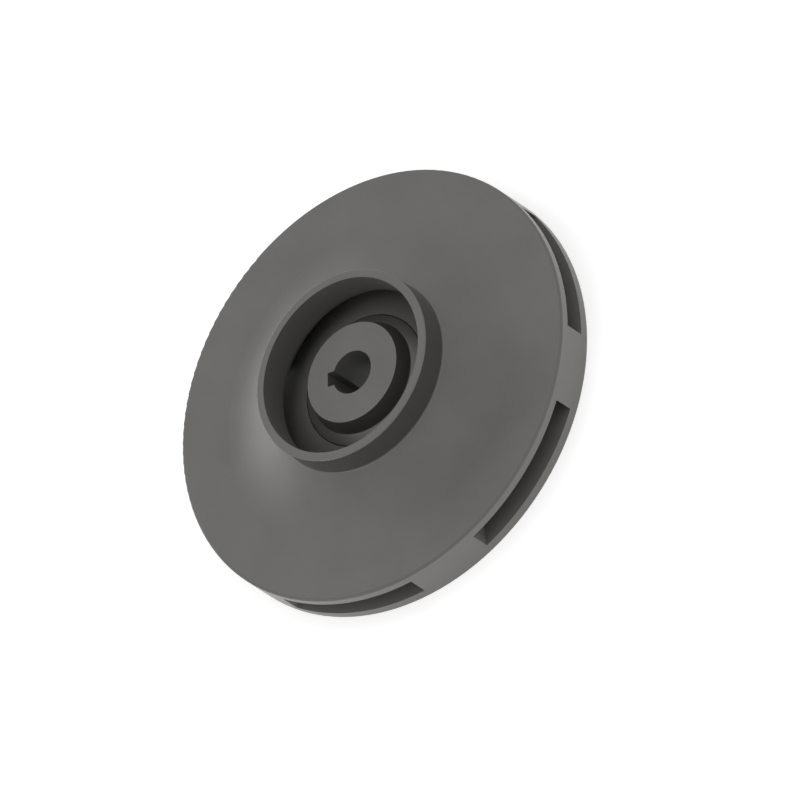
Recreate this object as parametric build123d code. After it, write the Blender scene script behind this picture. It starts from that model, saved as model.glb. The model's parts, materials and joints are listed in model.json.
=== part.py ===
from build123d import *

import os
from math import cos, radians, sin, sqrt, tan

# Closed radial pump impeller, cast in one piece: back shroud with its hub, six
# backward-swept vanes, front shroud with its flared neck and eye ring.
# Millimetres.  The Z axis is the shaft axis and points out of the eye.  The origin is
# the centre of the back face, so the impeller lies on its back with the eye up.
# It turns anticlockwise, seen from the eye.

# --- driving dimensions ---------------------------------------------------------------

# Rim
TIP_RADIUS = 120.0          # outside radius of the shrouds and of the vane tips
BACK_LIP = 5.2              # thickness of the back shroud at the rim
OUTLET_WIDTH = 12.2         # height of each outlet, along the shaft
FRONT_LIP = 5.4             # thickness of the front shroud
RIM_ROUND = 1.2             # round on the front edge of the rim

# Front shroud and eye ring
EYE_RADIUS = 48.8           # inside radius of the eye ring
RING_WALL = 4.6             # thickness of the eye ring
RING_HEIGHT = 27.1          # the ring's face, above the flat of the front shroud
RING_ROUND = 0.8            # round on the ring's outer edge
NECK_FOOT_RISE = 11.5       # the foot of the neck, above the flat of the front shroud
NECK_FOOT_ROUND = 1.2       # round where the neck meets the flare
FLARE_REACH = 36.6          # from the foot of the neck out to the flat
INLET_LIP_RADIUS = 4.0      # rounds the eye's wall into the passages

# Hub
HUB_RADIUS = 28.0
HUB_RISE = 16.9             # the hub's face, above the flat of the front shroud
HUB_SPREAD = 3.1            # the tapered hub is this much wider, in radius, at its foot
HUB_FOOT_RISE = 8.6         # the foot of the hub, above the flat of the front shroud
HUB_FOOT_ROUND = 0.8

# Floor of the eye, which falls away from the hub to the flat of the back shroud
FLOOR_SLOPE = 29.5          # fall from the hub's foot, degrees
FLOOR_SWEEP_RADIUS = 40.0   # leads the slope into the flat
GROOVE_GAP = 5.1            # from the hub's foot out to the groove where its turning ends
GROOVE_WIDTH = 0.6
GROOVE_DEPTH = 0.5

# Bore for a 24 mm shaft with an 8 mm parallel key
BORE_RADIUS = 12.0
KEY_WIDTH = 8.0
KEY_DEPTH = 3.3             # keyway depth beyond the bore

# Vanes.  The keyway lies on +Y, in line with the driving edge of one vane tip.
VANE_COUNT = 6
VANE_TIP_ARC = 20.0         # arc of the rim that each vane tip fills, degrees
VANE_LEAD_RADIUS = 75.0     # radius of the vanes' leading ends
VANE_LEAD_THICKNESS = 5.0
VANE_WRAP = 30.0            # sweep of the driving face round the axis, degrees
VANE_OUTLET_ANGLE = 72.0    # driving face against the tangent of the rim, degrees
KEY_DIRECTION = 90.0        # direction of the keyway, degrees from +X

# Hollow in the back of the casting, which keeps the wall even behind the hub
BOSS_RADIUS = 30.0
HOLLOW_RADIUS = 64.0
HOLLOW_DEPTH = 16.0
HOLLOW_ROUND = 3.0

# --- derived sizes --------------------------------------------------------------------

OUTLET_TOP = BACK_LIP + OUTLET_WIDTH
FRONT_FLAT = OUTLET_TOP + FRONT_LIP
RING_RADIUS = EYE_RADIUS + RING_WALL
RING_TOP = FRONT_FLAT + RING_HEIGHT
HUB_FACE = FRONT_FLAT + HUB_RISE
HUB_FOOT = FRONT_FLAT + HUB_FOOT_RISE
HUB_FOOT_RADIUS = HUB_RADIUS + HUB_SPREAD
FLOOR_RADIUS = HUB_FOOT_RADIUS + (HUB_FOOT - BACK_LIP) / tan(radians(FLOOR_SLOPE))
NECK_FOOT = FRONT_FLAT + NECK_FOOT_RISE
FLARE_START = RING_RADIUS + FLARE_REACH
FLARE_RADIUS = (FLARE_REACH**2 + NECK_FOOT_RISE**2) / (2 * NECK_FOOT_RISE)
RUN_OUT = TIP_RADIUS / 10   # how far a cutter runs past the surface that it opens
VANE_PITCH = 360 / VANE_COUNT
LEAD_DIRECTION = KEY_DIRECTION + VANE_WRAP
NEXT_TIP_DIRECTION = KEY_DIRECTION + VANE_PITCH - VANE_TIP_ARC
SEAM_DIRECTION = (LEAD_DIRECTION + NEXT_TIP_DIRECTION) / 2


def polar(radius, degrees):
    """Point at a radius and direction, in plan or in section."""
    return Vector(radius * cos(radians(degrees)), radius * sin(radians(degrees)))


def spin(*edges):
    """Revolve a closed section, drawn as (radius, height), about the shaft axis.

    The seams of the turned faces stand between two vanes, clear of both.
    """
    return Rot(0, 0, SEAM_DIRECTION) * revolve(Plane.XZ * make_face(edges), Axis.Z)


def round_circle(solid, radius, height, round_radius):
    """Round the circular edge of this radius and height."""
    circles = solid.edges().filter_by(GeomType.CIRCLE)
    edge = circles.sort_by_distance((radius, 0, height))[0]
    return fillet(edge, round_radius)


def casting_outside():
    """The outside of the casting: back, rim, front shroud, flare, neck and ring."""
    flat_end = Vector(FLARE_START, FRONT_FLAT)
    foot = Vector(RING_RADIUS, NECK_FOOT)
    solid = spin(
        Polyline((0, RING_TOP), (0, 0), (TIP_RADIUS, 0), (TIP_RADIUS, FRONT_FLAT), flat_end),
        TangentArc(flat_end, foot, tangent=(-1, 0)),
        Polyline(foot, (RING_RADIUS, RING_TOP), (0, RING_TOP)),
    )
    solid = round_circle(solid, TIP_RADIUS, FRONT_FLAT, RIM_ROUND)
    solid = round_circle(solid, RING_RADIUS, NECK_FOOT, NECK_FOOT_ROUND)
    return round_circle(solid, RING_RADIUS, RING_TOP, RING_ROUND)


def floor_edges():
    """Section of the hub and the back shroud's wet side, from the hub out past the rim."""
    foot = Vector(HUB_FOOT_RADIUS, HUB_FOOT)
    downhill = polar(1, -FLOOR_SLOPE)
    into_floor = polar(1, -FLOOR_SLOPE - 90)
    groove_start = foot + downhill * GROOVE_GAP / downhill.X
    groove_end = groove_start + downhill * GROOVE_WIDTH
    groove_floor = into_floor * GROOVE_DEPTH
    return [
        Polyline((0, HUB_FACE), (HUB_RADIUS, HUB_FACE), foot, groove_start),
        Polyline(
            groove_start,
            groove_start + groove_floor,
            groove_end + groove_floor,
            groove_end,
        ),
        Polyline(groove_end, (FLOOR_RADIUS, BACK_LIP), (TIP_RADIUS + RUN_OUT, BACK_LIP)),
    ]


def ceiling_edges():
    """Section of the front shroud's wet side, from past the rim up to the eye's wall."""
    flare_centre = Vector(FLARE_START, FRONT_FLAT + FLARE_RADIUS)
    flare_radius = FLARE_RADIUS + FRONT_LIP
    flare_start = flare_centre - Vector(0, flare_radius)

    # The inlet lip is tangent to the eye's wall and, from outside, to the flare.
    lip_x = EYE_RADIUS + INLET_LIP_RADIUS
    centre_gap = flare_radius - INLET_LIP_RADIUS
    lip_drop = sqrt(centre_gap**2 - (flare_centre.X - lip_x) ** 2)
    lip_centre = Vector(lip_x, flare_centre.Y - lip_drop)
    lip_end = flare_centre + (lip_centre - flare_centre).normalized() * flare_radius
    lip_start = Vector(EYE_RADIUS, lip_centre.Y)
    return [
        Line((TIP_RADIUS + RUN_OUT, OUTLET_TOP), flare_start),
        TangentArc(flare_start, lip_end, tangent=(-1, 0)),
        TangentArc(lip_start, lip_end, tangent=(0, -1)),
        Line(lip_start, (EYE_RADIUS, RING_TOP + RUN_OUT)),
    ]


def water_space():
    """The whole space for the water, from above the eye out past the rim, with no vanes."""
    outside = TIP_RADIUS + RUN_OUT
    above = RING_TOP + RUN_OUT
    space = spin(
        *floor_edges(),
        Line((outside, BACK_LIP), (outside, OUTLET_TOP)),
        *ceiling_edges(),
        Polyline((EYE_RADIUS, above), (0, above), (0, HUB_FACE)),
    )
    space = round_circle(space, HUB_FOOT_RADIUS, HUB_FOOT, HUB_FOOT_ROUND)
    return round_circle(space, FLOOR_RADIUS, BACK_LIP, FLOOR_SWEEP_RADIUS)


def vane():
    """One vane, standing through both shrouds, with its driving edge on the keyway side.

    In plan its two faces are arcs that part from the round leading end, so the vane
    thickens outwards to the arc of the rim that its tip fills.
    """
    tip = polar(TIP_RADIUS, KEY_DIRECTION)
    lead = polar(VANE_LEAD_RADIUS, LEAD_DIRECTION)
    inward = polar(1, KEY_DIRECTION + 90 + VANE_OUTLET_ANGLE)
    driving_face = TangentArc(tip, lead, tangent=inward)

    heading = driving_face % 1
    across = heading.rotate(Axis.Z, 90) * VANE_LEAD_THICKNESS
    leading_end = TangentArc(lead, lead + across, tangent=heading)

    trailing_tip = polar(TIP_RADIUS, KEY_DIRECTION - VANE_TIP_ARC)
    trailing_face = TangentArc(lead + across, trailing_tip, tangent=-heading)

    past_tip = tip - inward * RUN_OUT
    past_trailing_tip = trailing_tip + (trailing_face % 1) * RUN_OUT
    run_out = Polyline(trailing_tip, past_trailing_tip, past_tip, tip)
    plan = make_face([driving_face, leading_end, trailing_face, run_out])
    return extrude(plan, RING_TOP)


def shaft_bore():
    """The bore and its keyway, right through the hub."""
    key_reach = BORE_RADIUS + KEY_DEPTH
    keyway = Pos(key_reach / 2, 0) * Rectangle(key_reach, KEY_WIDTH)
    plan = Circle(BORE_RADIUS) + Rot(0, 0, KEY_DIRECTION) * keyway
    return Pos(0, 0, -RUN_OUT) * extrude(plan, HUB_FACE + 2 * RUN_OUT)


def back_hollow():
    """The ring-shaped hollow between the hub's boss and the flat of the back."""
    solid = spin(
        Polyline(
            (BOSS_RADIUS, 0),
            (BOSS_RADIUS, HOLLOW_DEPTH),
            (HOLLOW_RADIUS, 0),
            (BOSS_RADIUS, 0),
        )
    )
    return round_circle(solid, BOSS_RADIUS, HOLLOW_DEPTH, HOLLOW_ROUND)


def impeller():
    """The finished casting, as one solid."""
    vanes = [Rot(0, 0, number * VANE_PITCH) * vane() for number in range(VANE_COUNT)]
    passages = water_space() - vanes
    return casting_outside() - passages - shaft_bore() - back_hollow()


os.makedirs("parts", exist_ok=True)
export_step(impeller(), "parts/impeller.step")
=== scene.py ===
"""Finishes and sets out a closed pump impeller, cast in grey iron, on a white studio floor."""

import json
from math import cos, radians, sin

import bmesh
import bpy
from mathutils import Matrix, Vector


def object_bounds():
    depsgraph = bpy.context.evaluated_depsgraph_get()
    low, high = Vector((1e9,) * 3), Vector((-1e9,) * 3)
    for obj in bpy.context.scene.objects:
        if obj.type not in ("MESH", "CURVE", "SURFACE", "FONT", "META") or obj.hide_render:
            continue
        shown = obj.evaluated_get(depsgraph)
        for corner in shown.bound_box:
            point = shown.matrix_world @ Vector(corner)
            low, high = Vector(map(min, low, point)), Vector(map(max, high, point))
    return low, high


bl_info = {
    "name": "Cast iron pump impeller",
    "version": (1, 0, 0),
    "blender": (4, 5, 0),
    "location": "View3D > Sidebar > Impeller",
    "description": "Finishes a cast iron pump impeller and sets it out on a studio floor",
    "category": "Object",
}

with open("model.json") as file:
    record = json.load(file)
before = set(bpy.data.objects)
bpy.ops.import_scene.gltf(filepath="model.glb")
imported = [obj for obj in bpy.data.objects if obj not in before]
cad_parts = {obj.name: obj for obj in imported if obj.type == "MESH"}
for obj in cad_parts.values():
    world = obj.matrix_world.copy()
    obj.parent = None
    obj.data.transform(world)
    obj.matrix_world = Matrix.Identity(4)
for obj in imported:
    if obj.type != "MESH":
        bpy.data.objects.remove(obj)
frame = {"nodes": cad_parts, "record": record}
CAD_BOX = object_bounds()
MM = 0.001

# The places that the finishes are laid out from, in metres.
CASTING = frame["nodes"]["impeller"]
MOUNTS = {mount["name"]: mount for mount in frame["record"]["mounts"]}
RING_TOP_Z = CAD_BOX[1].z
TIP_RADIUS = CAD_BOX[1].y
BORE_RADIUS = MOUNTS["bore"]["dims"]["r_mm"] * MM
HUB_FACE_Z = MOUNTS["hub_face"]["pos_m"][2]
RING_RADIUS = MOUNTS["eye_ring"]["dims"]["r_mm"] * MM
RING_WALL = 4.6 * MM            # thickness of the eye ring
RING_ROUND = 0.8 * MM           # round on the ring's outer edge
RING_FOOT_Z = 34.3 * MM         # where the ring's outside meets the flare
RIM_ROUND = 1.2 * MM            # round on the front edge of the rim
FRONT_Z = 22.8 * MM             # flat of the front shroud
KEYWAY_RADIUS = 15.9 * MM       # the keyway's far corners
HUB_FOOT_RADIUS = 31.1 * MM
HUB_FOOT_Z = 31.4 * MM
GROOVE_RADIUS = 36.2 * MM       # where the turning beside the hub ends
GROOVE_WIDTH = 0.6 * MM
GROOVE_Z = 28.5 * MM
HOLLOW_RADIUS = 64.0 * MM
GROOVE_SHADE_REACH = 1.2 * MM          # reach of the groove's painted shade below the floor beside it
WALL_FOOT_Z = 33.0 * MM         # where the eye's wall rounds into the passages
ROOF_FLAT_RADIUS = 80.0 * MM    # from here out the roof over the passages counts as flat
ROOF_FLAT_Z = FRONT_Z - 2.5 * MM    # a height within the front shroud's wall
FADE_START_Z = WALL_FOOT_Z - MM     # heights that the passages' painted light fades in between
FADE_END_Z = WALL_FOOT_Z - 6 * MM
SKIN = 0.15 * MM                # how far a facet may stand off its true surface
THIN_SKIN = SKIN / 3            # the same, where two finishes meet

# How the finishes vary.
ROUGHNESS_SPREAD = 0.04         # of the sand grain, either way
TURNED_SMOOTHER = 0.08          # a turned face is this much less rough
RING_TONES = (0.97, 1.03)       # darkest and lightest rings of the turning tool
GRAIN_TONES = (0.96, 1.04)      # darkest and lightest grains

# Lamps: name, place and diameter in metres, and the property that holds the power.
SOFTBOXES = (
    ("low_softbox", (1.1, 2.31, 0.62), 1.8, "low_light"),
    ("side_softbox", (0.1, -2.6, 0.15), 1.2, "side_light"),
    ("rim_softbox", (-2.1, 1.53, 0.1), 1.2, "rim_light"),
)
TOUCHING_GAPS = 5               # a ray this many floor gaps long comes from the face on the floor


def linear(hex_colour):
    """Linear RGBA of an sRGB hex colour."""
    channels = [int(hex_colour[i:i + 2], 16) / 255 for i in (0, 2, 4)]
    light = [c / 12.92 if c <= 0.04045 else ((c + 0.055) / 1.055) ** 2.4 for c in channels]
    return (*light, 1.0)


def add(tree, kind, inputs=None, **settings):
    """Add a node with its settings, fill its inputs with values or links, and return it."""
    node = tree.nodes.new(kind)
    for name, value in settings.items():
        setattr(node, name, value)
    for key, value in (inputs or {}).items():
        if isinstance(value, bpy.types.NodeSocket):
            tree.links.new(value, node.inputs[key])
        else:
            node.inputs[key].default_value = value
    return node


def zone(tree, radius, height, radii, heights):
    """Mask of the surface between two radii and two heights, 1 inside and 0 outside."""
    masks = []
    for place, (low, high) in ((radius, radii), (height, heights)):
        masks.append(add(tree, "ShaderNodeMath", {
            0: place, 1: (low + high) / 2, 2: (high - low) / 2,
        }, operation="COMPARE").outputs[0])
    return add(tree, "ShaderNodeMath", dict(enumerate(masks)), operation="MULTIPLY").outputs[0]


def either(tree, masks):
    """Mask of all the surface that any of these masks covers."""
    total = masks[0]
    for mask in masks[1:]:
        total = add(tree, "ShaderNodeMath", {0: total, 1: mask}, operation="MAXIMUM").outputs[0]
    return total


def seen_directly(tree, path):
    """Mask of the rays that come from the camera, a reflection or clear glass."""
    seen = add(tree, "ShaderNodeMath", {
        0: path["Is Camera Ray"], 1: path["Is Glossy Ray"],
    }, operation="MAXIMUM").outputs[0]
    seen = add(tree, "ShaderNodeMath", {
        0: seen, 1: path["Is Transmission Ray"],
    }, operation="MAXIMUM").outputs[0]
    return seen


def cast_iron_material(look):
    """Grey cast iron, sand cast, blasted, and turned where it runs or seats.

    The blasted skin is a dull, even, dark grey that shines only at a slant.  The walls
    that no tool or shot reaches keep a rougher sand skin.  Turned faces are smoother,
    with the fine rings that the tool leaves, and the seats are a little paler.  The rim is
    paler still, partly as turned metal and partly as painted light for the side lamp.
    The eye's walls, the hub's taper, the ring's outside and the groove carry painted
    shade, and the deep passages painted light.
    """
    material = bpy.data.materials.new("grey_cast_iron_blasted_and_turned")
    material.use_nodes = True
    tree = material.node_tree
    tree.nodes.clear()
    place = add(tree, "ShaderNodeTexCoord").outputs["Object"]
    axes = add(tree, "ShaderNodeSeparateXYZ", {0: place}).outputs
    flat = add(tree, "ShaderNodeCombineXYZ", {0: axes[0], 1: axes[1]}).outputs[0]
    radius = add(tree, "ShaderNodeVectorMath", {0: flat}, operation="LENGTH").outputs["Value"]
    height = axes[2]

    # Where each finish lies.
    rim = zone(
        tree, radius, height,
        (TIP_RADIUS - SKIN, TIP_RADIUS + SKIN), (-SKIN, FRONT_Z - RIM_ROUND),
    )
    rim_edge = zone(
        tree, radius, height,
        (TIP_RADIUS - RIM_ROUND, TIP_RADIUS + SKIN), (FRONT_Z - RIM_ROUND, FRONT_Z + SKIN),
    )
    eye_radius = RING_RADIUS - RING_WALL
    ring_face = zone(
        tree, radius, height,
        (eye_radius - SKIN, RING_RADIUS), (RING_TOP_Z - SKIN, RING_TOP_Z + SKIN),
    )
    ring_edge = zone(
        tree, radius, height,
        (RING_RADIUS - RING_ROUND, RING_RADIUS + SKIN),
        (RING_TOP_Z - RING_ROUND, RING_TOP_Z - THIN_SKIN),
    )
    ring_wall = zone(
        tree, radius, height,
        (RING_RADIUS - SKIN, RING_RADIUS + SKIN), (RING_FOOT_Z, RING_TOP_Z - RING_ROUND),
    )
    hub_face = zone(
        tree, radius, height,
        (BORE_RADIUS, HUB_FOOT_RADIUS), (HUB_FACE_Z - SKIN, HUB_FACE_Z + SKIN),
    )
    hub_taper = zone(
        tree, radius, height,
        (BORE_RADIUS, HUB_FOOT_RADIUS + SKIN), (HUB_FOOT_Z, HUB_FACE_Z - SKIN),
    )
    hub_seat = zone(
        tree, radius, height,
        (HUB_FOOT_RADIUS, GROOVE_RADIUS), (GROOVE_Z - SKIN, HUB_FOOT_Z + SKIN),
    )
    groove = zone(
        tree, radius, height,
        (GROOVE_RADIUS - THIN_SKIN, GROOVE_RADIUS + GROOVE_WIDTH),
        (GROOVE_Z - GROOVE_SHADE_REACH, GROOVE_Z + THIN_SKIN),
    )
    bore = zone(tree, radius, height, (0.0, KEYWAY_RADIUS + SKIN), (SKIN, HUB_FACE_Z - SKIN))
    back = zone(tree, radius, height, (HOLLOW_RADIUS, TIP_RADIUS), (-SKIN, SKIN))
    boss = zone(tree, radius, height, (0.0, HUB_FOOT_RADIUS - MM), (-SKIN, SKIN))
    eye_wall = zone(
        tree, radius, height,
        (eye_radius - SKIN, eye_radius + SKIN), (WALL_FOOT_Z, RING_TOP_Z - SKIN),
    )
    inside = zone(tree, radius, height, (GROOVE_RADIUS, TIP_RADIUS - SKIN), (MM, WALL_FOOT_Z))
    roof = add(tree, "ShaderNodeMapRange", {
        "Value": radius, "From Min": eye_radius, "From Max": ROOF_FLAT_RADIUS,
        "To Min": WALL_FOOT_Z, "To Max": ROOF_FLAT_Z,
    }).outputs[0]
    under_roof = add(tree, "ShaderNodeMath", {
        0: height, 1: roof,
    }, operation="LESS_THAN").outputs[0]
    passages = add(tree, "ShaderNodeMath", {
        0: inside, 1: under_roof,
    }, operation="MULTIPLY").outputs[0]
    # Painted light: deeper in the passages the colour turns lighter, to lift their shade.
    depth = add(tree, "ShaderNodeMapRange", {
        "Value": height, "From Min": FADE_START_Z, "From Max": FADE_END_Z,
    }, interpolation_type="SMOOTHSTEP").outputs[0]
    deep = add(tree, "ShaderNodeMath", {0: passages, 1: depth}, operation="MULTIPLY").outputs[0]
    turned = either(
        tree, [rim, ring_face, ring_edge, ring_wall, hub_face, hub_seat, bore, back, boss],
    )

    # Slow patches, sand grain and the rings of the turning tool.
    mottle = add(tree, "ShaderNodeTexNoise", {
        "Vector": place, "Scale": 1 / look.mottle_size, "Detail": 3.0, "Roughness": 0.55,
    }).outputs["Fac"]
    grain = add(tree, "ShaderNodeTexNoise", {
        "Vector": place, "Scale": 1 / look.grain_size, "Detail": 2.0, "Roughness": 0.6,
    }).outputs["Fac"]
    along = add(tree, "ShaderNodeMath", {0: radius, 1: height}, operation="ADD").outputs[0]
    rings = add(tree, "ShaderNodeTexNoise", {
        "W": along, "Scale": 1 / look.ring_pitch, "Detail": 1.0,
    }, noise_dimensions="1D").outputs["Fac"]

    patch = add(tree, "ShaderNodeMapRange", {
        "Value": mottle, "From Min": 0.3, "From Max": 0.7,
    }).outputs[0]
    colour = add(tree, "ShaderNodeMix", {
        "Factor": patch, "A": look.dark_colour[:], "B": look.light_colour[:],
    }, data_type="RGBA").outputs[2]
    for mask, finish in (
        # Painted shade: the eye's walls and the passages next to them get the darker sand colour.
        (passages, look.sand_and_shade_colour),
        # Painted light: the deep passages get the lighter passage colour.
        (deep, look.passage_light_colour),
        (eye_wall, look.sand_and_shade_colour),
        # Painted shade in the groove.
        (groove, look.groove_shade_colour),
        # Painted shade on the hub's taper.
        (hub_taper, look.taper_shade_colour),
        # Painted shade on the ring's outside.
        (ring_wall, look.ring_wall_shade_colour),
        (bore, look.bore_colour),
        (rim_edge, look.edge_colour),
        (hub_seat, look.turned_colour),
        (ring_edge, look.turned_colour),
        # Partly painted light: the rim's paler colour.
        (rim, look.rim_colour),
    ):
        colour = add(tree, "ShaderNodeMix", {
            "Factor": mask, "A": colour, "B": finish[:],
        }, data_type="RGBA").outputs[2]
    streak = add(tree, "ShaderNodeMapRange", {
        "Value": rings, "From Min": 0.25, "From Max": 0.75,
        "To Min": RING_TONES[0], "To Max": RING_TONES[1],
    }).outputs[0]
    speckle = add(tree, "ShaderNodeMapRange", {
        "Value": grain, "From Min": 0.25, "From Max": 0.75,
        "To Min": GRAIN_TONES[0], "To Max": GRAIN_TONES[1],
    }).outputs[0]
    tone = add(tree, "ShaderNodeMix", {0: turned, 2: speckle, 3: streak}).outputs[0]
    colour = add(tree, "ShaderNodeVectorMath", {0: colour, 3: tone}, operation="SCALE").outputs[0]

    rough = add(tree, "ShaderNodeMapRange", {
        "Value": grain, "From Min": 0.3, "From Max": 0.7,
        "To Min": look.roughness - ROUGHNESS_SPREAD, "To Max": look.roughness + ROUGHNESS_SPREAD,
    }).outputs[0]
    smoother = add(tree, "ShaderNodeMath", {
        0: rough, 1: TURNED_SMOOTHER,
    }, operation="SUBTRACT").outputs[0]
    rough = add(tree, "ShaderNodeMix", {0: turned, 2: rough, 3: smoother}).outputs[0]
    raw = either(tree, [passages, eye_wall])
    rough = add(tree, "ShaderNodeMix", {0: raw, 2: rough, 3: look.sand_roughness}).outputs[0]
    shallow = add(tree, "ShaderNodeMath", {
        0: rings, 1: look.ring_depth,
    }, operation="MULTIPLY").outputs[0]
    relief = add(tree, "ShaderNodeMath", {
        0: grain, 1: look.grain_depth,
    }, operation="MULTIPLY").outputs[0]
    relief = add(tree, "ShaderNodeMix", {0: turned, 2: relief, 3: shallow}).outputs[0]
    bump = add(tree, "ShaderNodeBump", {
        "Height": relief, "Strength": look.relief_strength, "Distance": 1.0,
    }).outputs[0]
    shader = add(tree, "ShaderNodeBsdfPrincipled", {
        "Base Color": colour, "Metallic": look.metallic, "Roughness": rough, "Normal": bump,
    })
    add(tree, "ShaderNodeOutputMaterial", {"Surface": shader.outputs[0]})
    return material


class CastingLook(bpy.types.PropertyGroup):
    """Colours and grain of the casting."""

    dark_colour: bpy.props.FloatVectorProperty(
        name="Dark skin", description="Darker patches of the cast skin", subtype="COLOR", size=4,
        min=0.0, max=1.0, default=linear("5f5e5c"),
    )
    light_colour: bpy.props.FloatVectorProperty(
        name="Light skin", description="Lighter patches of the cast skin", subtype="COLOR", size=4,
        min=0.0, max=1.0, default=linear("646361"),
    )
    # Painted shade: the sand skin is drawn darker than the blasted skin, for the shade on the
    # eye's walls and in the passages next to them.
    sand_and_shade_colour: bpy.props.FloatVectorProperty(
        name="Sand skin", description="Cast walls inside the eye", subtype="COLOR", size=4,
        min=0.0, max=1.0, default=linear("5a5957"),
    )
    # Painted light: lighter than the skin, so the deep passages look less shaded.
    passage_light_colour: bpy.props.FloatVectorProperty(
        name="Passages", description="Raw cast walls of the water passages",
        subtype="COLOR", size=4, min=0.0, max=1.0, default=linear("72716e"),
    )
    # Painted shade: the hub's taper is drawn darker than the cast skin, for the shade deep in the
    # eye.
    taper_shade_colour: bpy.props.FloatVectorProperty(
        name="Hub taper", description="Cast taper below the hub's face", subtype="COLOR", size=4,
        min=0.0, max=1.0, default=linear("504f4e"),
    )
    # Painted shade: the ring's turned outside is drawn darker than the other turned faces, for the
    # shade from the shroud beside it.
    ring_wall_shade_colour: bpy.props.FloatVectorProperty(
        name="Ring wall", description="Turned outside of the eye ring", subtype="COLOR", size=4,
        min=0.0, max=1.0, default=linear("565553"),
    )
    bore_colour: bpy.props.FloatVectorProperty(
        name="Bore", description="Bore and keyway", subtype="COLOR", size=4,
        min=0.0, max=1.0, default=linear("626160"),
    )
    edge_colour: bpy.props.FloatVectorProperty(
        name="Rim edge", description="Skin left on the round at the front of the rim",
        subtype="COLOR", size=4, min=0.0, max=1.0, default=linear("5f5e5c"),
    )
    # Painted shade: the groove is drawn near black for the shade in its crease.
    groove_shade_colour: bpy.props.FloatVectorProperty(
        name="Dirt", description="What settles in the groove", subtype="COLOR", size=4,
        min=0.0, max=1.0, default=linear("2a2928"),
    )
    turned_colour: bpy.props.FloatVectorProperty(
        name="Turned face", description="Bright turned faces by the hub and on edges",
        subtype="COLOR", size=4, min=0.0, max=1.0, default=linear("656462"),
    )
    # Partly painted light: the turned rim is paler than the other turned faces, standing in for
    # the side lamp's light.
    rim_colour: bpy.props.FloatVectorProperty(
        name="Rim", description="Turned rim", subtype="COLOR", size=4,
        min=0.0, max=1.0, default=linear("71706d"),
    )
    metallic: bpy.props.FloatProperty(
        name="Metallic", description="How much of the surface is bare metal", default=0.5,
        min=0.0, max=1.0, subtype="FACTOR",
    )
    roughness: bpy.props.FloatProperty(
        name="Roughness", description="Mean roughness of the blasted skin", default=0.45,
        min=0.0, max=1.0, subtype="FACTOR",
    )
    sand_roughness: bpy.props.FloatProperty(
        name="Sand roughness", description="Roughness of the raw cast walls inside", default=0.8,
        min=0.0, max=1.0, subtype="FACTOR",
    )
    mottle_size: bpy.props.FloatProperty(
        name="Mottle size", description="Width of the patches of the cast skin", default=0.03,
        unit="LENGTH",
    )
    grain_size: bpy.props.FloatProperty(
        name="Grain size", description="Width of the sand grain", default=0.0012, unit="LENGTH",
    )
    grain_depth: bpy.props.FloatProperty(
        name="Grain depth", description="Depth of the sand grain", default=0.0001, unit="LENGTH",
    )
    # A finishing tool leaves rings about 0.2 mm apart, too fine to show, so they are coarser.
    ring_pitch: bpy.props.FloatProperty(
        name="Ring pitch", description="Distance between the turning tool's rings",
        default=0.0009, unit="LENGTH",
    )
    ring_depth: bpy.props.FloatProperty(
        name="Ring depth", description="Depth of the turning tool's rings", default=0.000008,
        unit="LENGTH",
    )
    relief_strength: bpy.props.FloatProperty(
        name="Relief strength", description="How much of the grain and rings shows", default=0.3,
        min=0.0, max=1.0, subtype="FACTOR",
    )


class StageLook(bpy.types.PropertyGroup):
    """Floor, light and camera of the studio."""

    floor_colour: bpy.props.FloatVectorProperty(
        name="Floor colour", description="Colour of the floor", subtype="COLOR", size=4,
        min=0.0, max=1.0, default=linear("e6e6e6"),
    )
    floor_size: bpy.props.FloatProperty(
        name="Floor size", description="Side of the square floor", default=60.0, unit="LENGTH",
    )
    floor_gap: bpy.props.FloatProperty(
        name="Floor gap", description="How far the floor lies under the casting", default=0.0002,
        unit="LENGTH",
    )
    floor_glow: bpy.props.FloatProperty(
        name="Floor glow", description="Lifts the floor to white for the eye and in reflections",
        default=0.45, min=0.0,
    )
    sky_light: bpy.props.FloatProperty(
        name="Sky light", description="Strength of the even light from all round", default=0.9,
        min=0.0,
    )
    low_light: bpy.props.FloatProperty(
        name="Low light", description="Power of the low soft lamp behind the keyway, in watts",
        default=14.0, min=0.0,
    )
    side_light: bpy.props.FloatProperty(
        name="Side light", description="Power of the low soft lamp beside the rim, in watts",
        default=2.0, min=0.0,
    )
    rim_light: bpy.props.FloatProperty(
        name="Rim light", default=7.0, min=0.0,
        description="Power of the low soft lamp that picks out the rim, in watts",
    )
    camera_distance: bpy.props.FloatProperty(
        name="Camera distance", description="From the aim point to the camera", default=15.445,
        unit="LENGTH",
    )
    camera_lens: bpy.props.FloatProperty(
        name="Lens", description="Focal length in millimetres", default=1350.0,
    )
    camera_azimuth: bpy.props.FloatProperty(
        name="Azimuth", description="Direction from the shaft to the camera, from +X",
        default=radians(-132.0073), subtype="ANGLE",
    )
    camera_elevation: bpy.props.FloatProperty(
        name="Elevation", description="Height of the camera above the horizon",
        default=radians(46.5547), subtype="ANGLE",
    )
    camera_roll: bpy.props.FloatProperty(
        name="Roll", description="Turn of the camera about its line of sight",
        default=radians(-57.1122), subtype="ANGLE",
    )
    camera_aim: bpy.props.FloatVectorProperty(
        name="Aim", description="Point that the camera looks at", size=3, unit="LENGTH",
        default=(-0.014646, -0.018293, 0.0228),
    )


class IMPELLER_OT_casting(bpy.types.Operator):
    """Give the casting its iron finish"""

    bl_idname = "impeller.casting"
    bl_label = "Finish the casting"

    def execute(self, context):
        material = cast_iron_material(context.scene.impeller_casting)
        for slot in CASTING.material_slots:
            slot.material = material
        return {"FINISHED"}


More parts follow.
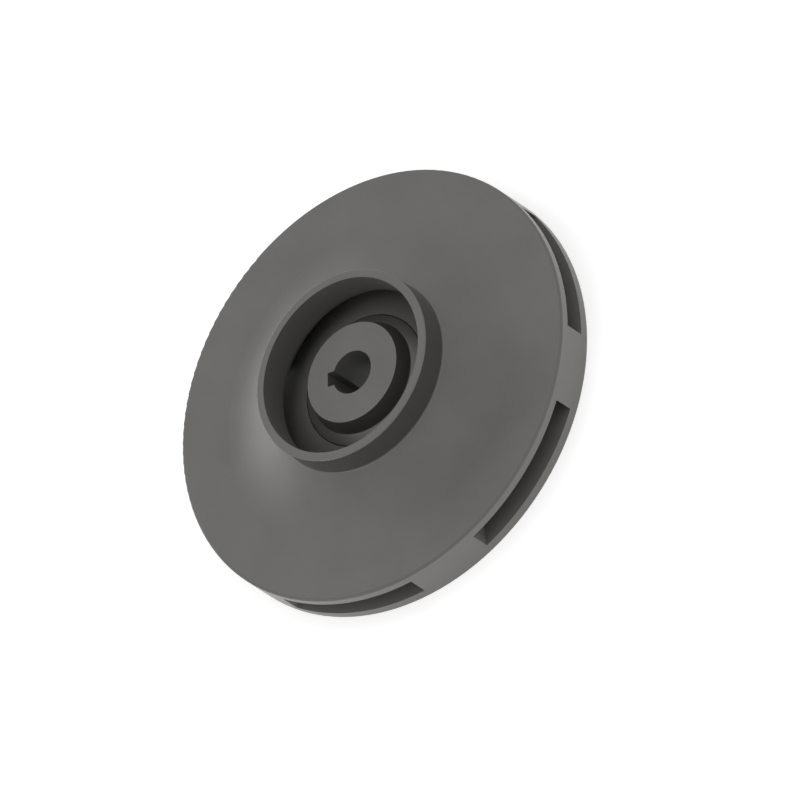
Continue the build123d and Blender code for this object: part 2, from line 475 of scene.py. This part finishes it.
class IMPELLER_OT_stage(bpy.types.Operator):
    """Lay the floor, set the soft light and place the camera"""

    bl_idname = "impeller.stage"
    bl_label = "Set the stage"

    def execute(self, context):
        look = context.scene.impeller_stage
        self.lay_floor(context, look)
        self.light(context, look)
        self.place_camera(context, look)
        context.scene.view_settings.view_transform = "Standard"
        return {"FINISHED"}

    def lay_floor(self, context, look):
        mesh = bpy.data.meshes.new("studio_floor")
        bm = bmesh.new()
        bmesh.ops.create_grid(bm, x_segments=1, y_segments=1, size=look.floor_size / 2)
        bmesh.ops.translate(bm, verts=bm.verts, vec=(0.0, 0.0, CAD_BOX[0].z - look.floor_gap))
        bm.to_mesh(mesh)
        bm.free()
        floor = bpy.data.objects.new("studio_floor", mesh)
        context.scene.collection.objects.link(floor)
        material = bpy.data.materials.new("matt_white_studio_floor")
        material.use_nodes = True
        tree = material.node_tree
        tree.nodes.clear()
        path = add(tree, "ShaderNodeLightPath").outputs
        glow = add(tree, "ShaderNodeMath", {
            0: seen_directly(tree, path), 1: look.floor_glow,
        }, operation="MULTIPLY")
        matt = add(tree, "ShaderNodeBsdfDiffuse", {"Color": look.floor_colour[:]})
        lift = add(tree, "ShaderNodeEmission", {"Strength": glow.outputs[0]})
        both = add(tree, "ShaderNodeAddShader", {0: matt.outputs[0], 1: lift.outputs[0]})

        # The floor is open from below and to the face that lies on it, so that side is lit too.
        below = add(tree, "ShaderNodeNewGeometry").outputs["Backfacing"]
        touching = add(tree, "ShaderNodeMath", {
            0: path["Ray Length"], 1: TOUCHING_GAPS * look.floor_gap,
        }, operation="LESS_THAN").outputs[0]
        is_open = add(tree, "ShaderNodeMath", {
            0: below, 1: touching,
        }, operation="MAXIMUM").outputs[0]
        clear = add(tree, "ShaderNodeBsdfTransparent")
        floor_shader = add(tree, "ShaderNodeMixShader", {
            0: is_open, 1: both.outputs[0], 2: clear.outputs[0],
        })
        add(tree, "ShaderNodeOutputMaterial", {"Surface": floor_shader.outputs[0]})
        mesh.materials.append(material)

    def light(self, context, look):
        world = bpy.data.worlds.new("studio")
        world.use_nodes = True
        tree = world.node_tree
        tree.nodes.clear()
        path = add(tree, "ShaderNodeLightPath").outputs
        strength = add(tree, "ShaderNodeMapRange", {
            "Value": seen_directly(tree, path), "To Min": look.sky_light, "To Max": 1.0,
        }).outputs[0]
        sky = add(tree, "ShaderNodeBackground", {
            "Color": (1.0, 1.0, 1.0, 1.0), "Strength": strength,
        })
        add(tree, "ShaderNodeOutputWorld", {"Surface": sky.outputs[0]})
        context.scene.world = world

        for name, place, size, power in SOFTBOXES:
            lamp = bpy.data.lights.new(name, "AREA")
            lamp.shape = "DISK"
            lamp.size = size
            lamp.energy = getattr(look, power)
            softbox = bpy.data.objects.new(name, lamp)
            context.scene.collection.objects.link(softbox)
            softbox.location = Vector(place)
            softbox.rotation_euler = softbox.location.to_track_quat("Z", "Y").to_euler()

    def place_camera(self, context, look):
        lens = bpy.data.cameras.new("camera")
        lens.lens = look.camera_lens
        lens.sensor_width = 36.0
        lens.clip_end = 100.0
        camera = bpy.data.objects.new("camera", lens)
        context.scene.collection.objects.link(camera)
        level = cos(look.camera_elevation)
        back = Vector((
            level * cos(look.camera_azimuth),
            level * sin(look.camera_azimuth),
            sin(look.camera_elevation),
        ))
        aim = Vector(look.camera_aim)
        roll = Matrix.Rotation(look.camera_roll, 3, "Z")
        turn = back.to_track_quat("Z", "Y").to_matrix() @ roll
        place = Matrix.Translation(aim + back * look.camera_distance)
        camera.matrix_world = place @ turn.to_4x4()
        context.scene.camera = camera


class IMPELLER_PT_panel(bpy.types.Panel):
    """Sizes and finishes of the impeller"""

    bl_idname = "IMPELLER_PT_panel"
    bl_label = "Pump impeller"
    bl_space_type = "VIEW_3D"
    bl_region_type = "UI"
    bl_category = "Impeller"

    def draw(self, context):
        for look, operator in (
            (context.scene.impeller_casting, IMPELLER_OT_casting),
            (context.scene.impeller_stage, IMPELLER_OT_stage),
        ):
            box = self.layout.box()
            for name in look.__annotations__:
                box.prop(look, name)
            box.operator(operator.bl_idname)


CLASSES = (CastingLook, StageLook, IMPELLER_OT_casting, IMPELLER_OT_stage, IMPELLER_PT_panel)


def register():
    for cls in CLASSES:
        bpy.utils.register_class(cls)
    bpy.types.Scene.impeller_casting = bpy.props.PointerProperty(type=CastingLook)
    bpy.types.Scene.impeller_stage = bpy.props.PointerProperty(type=StageLook)


def unregister():
    del bpy.types.Scene.impeller_stage
    del bpy.types.Scene.impeller_casting
    for cls in reversed(CLASSES):
        bpy.utils.unregister_class(cls)


def main():
    register()
    bpy.ops.impeller.casting()
    bpy.ops.impeller.stage()


if __name__ == "__main__":
    main()
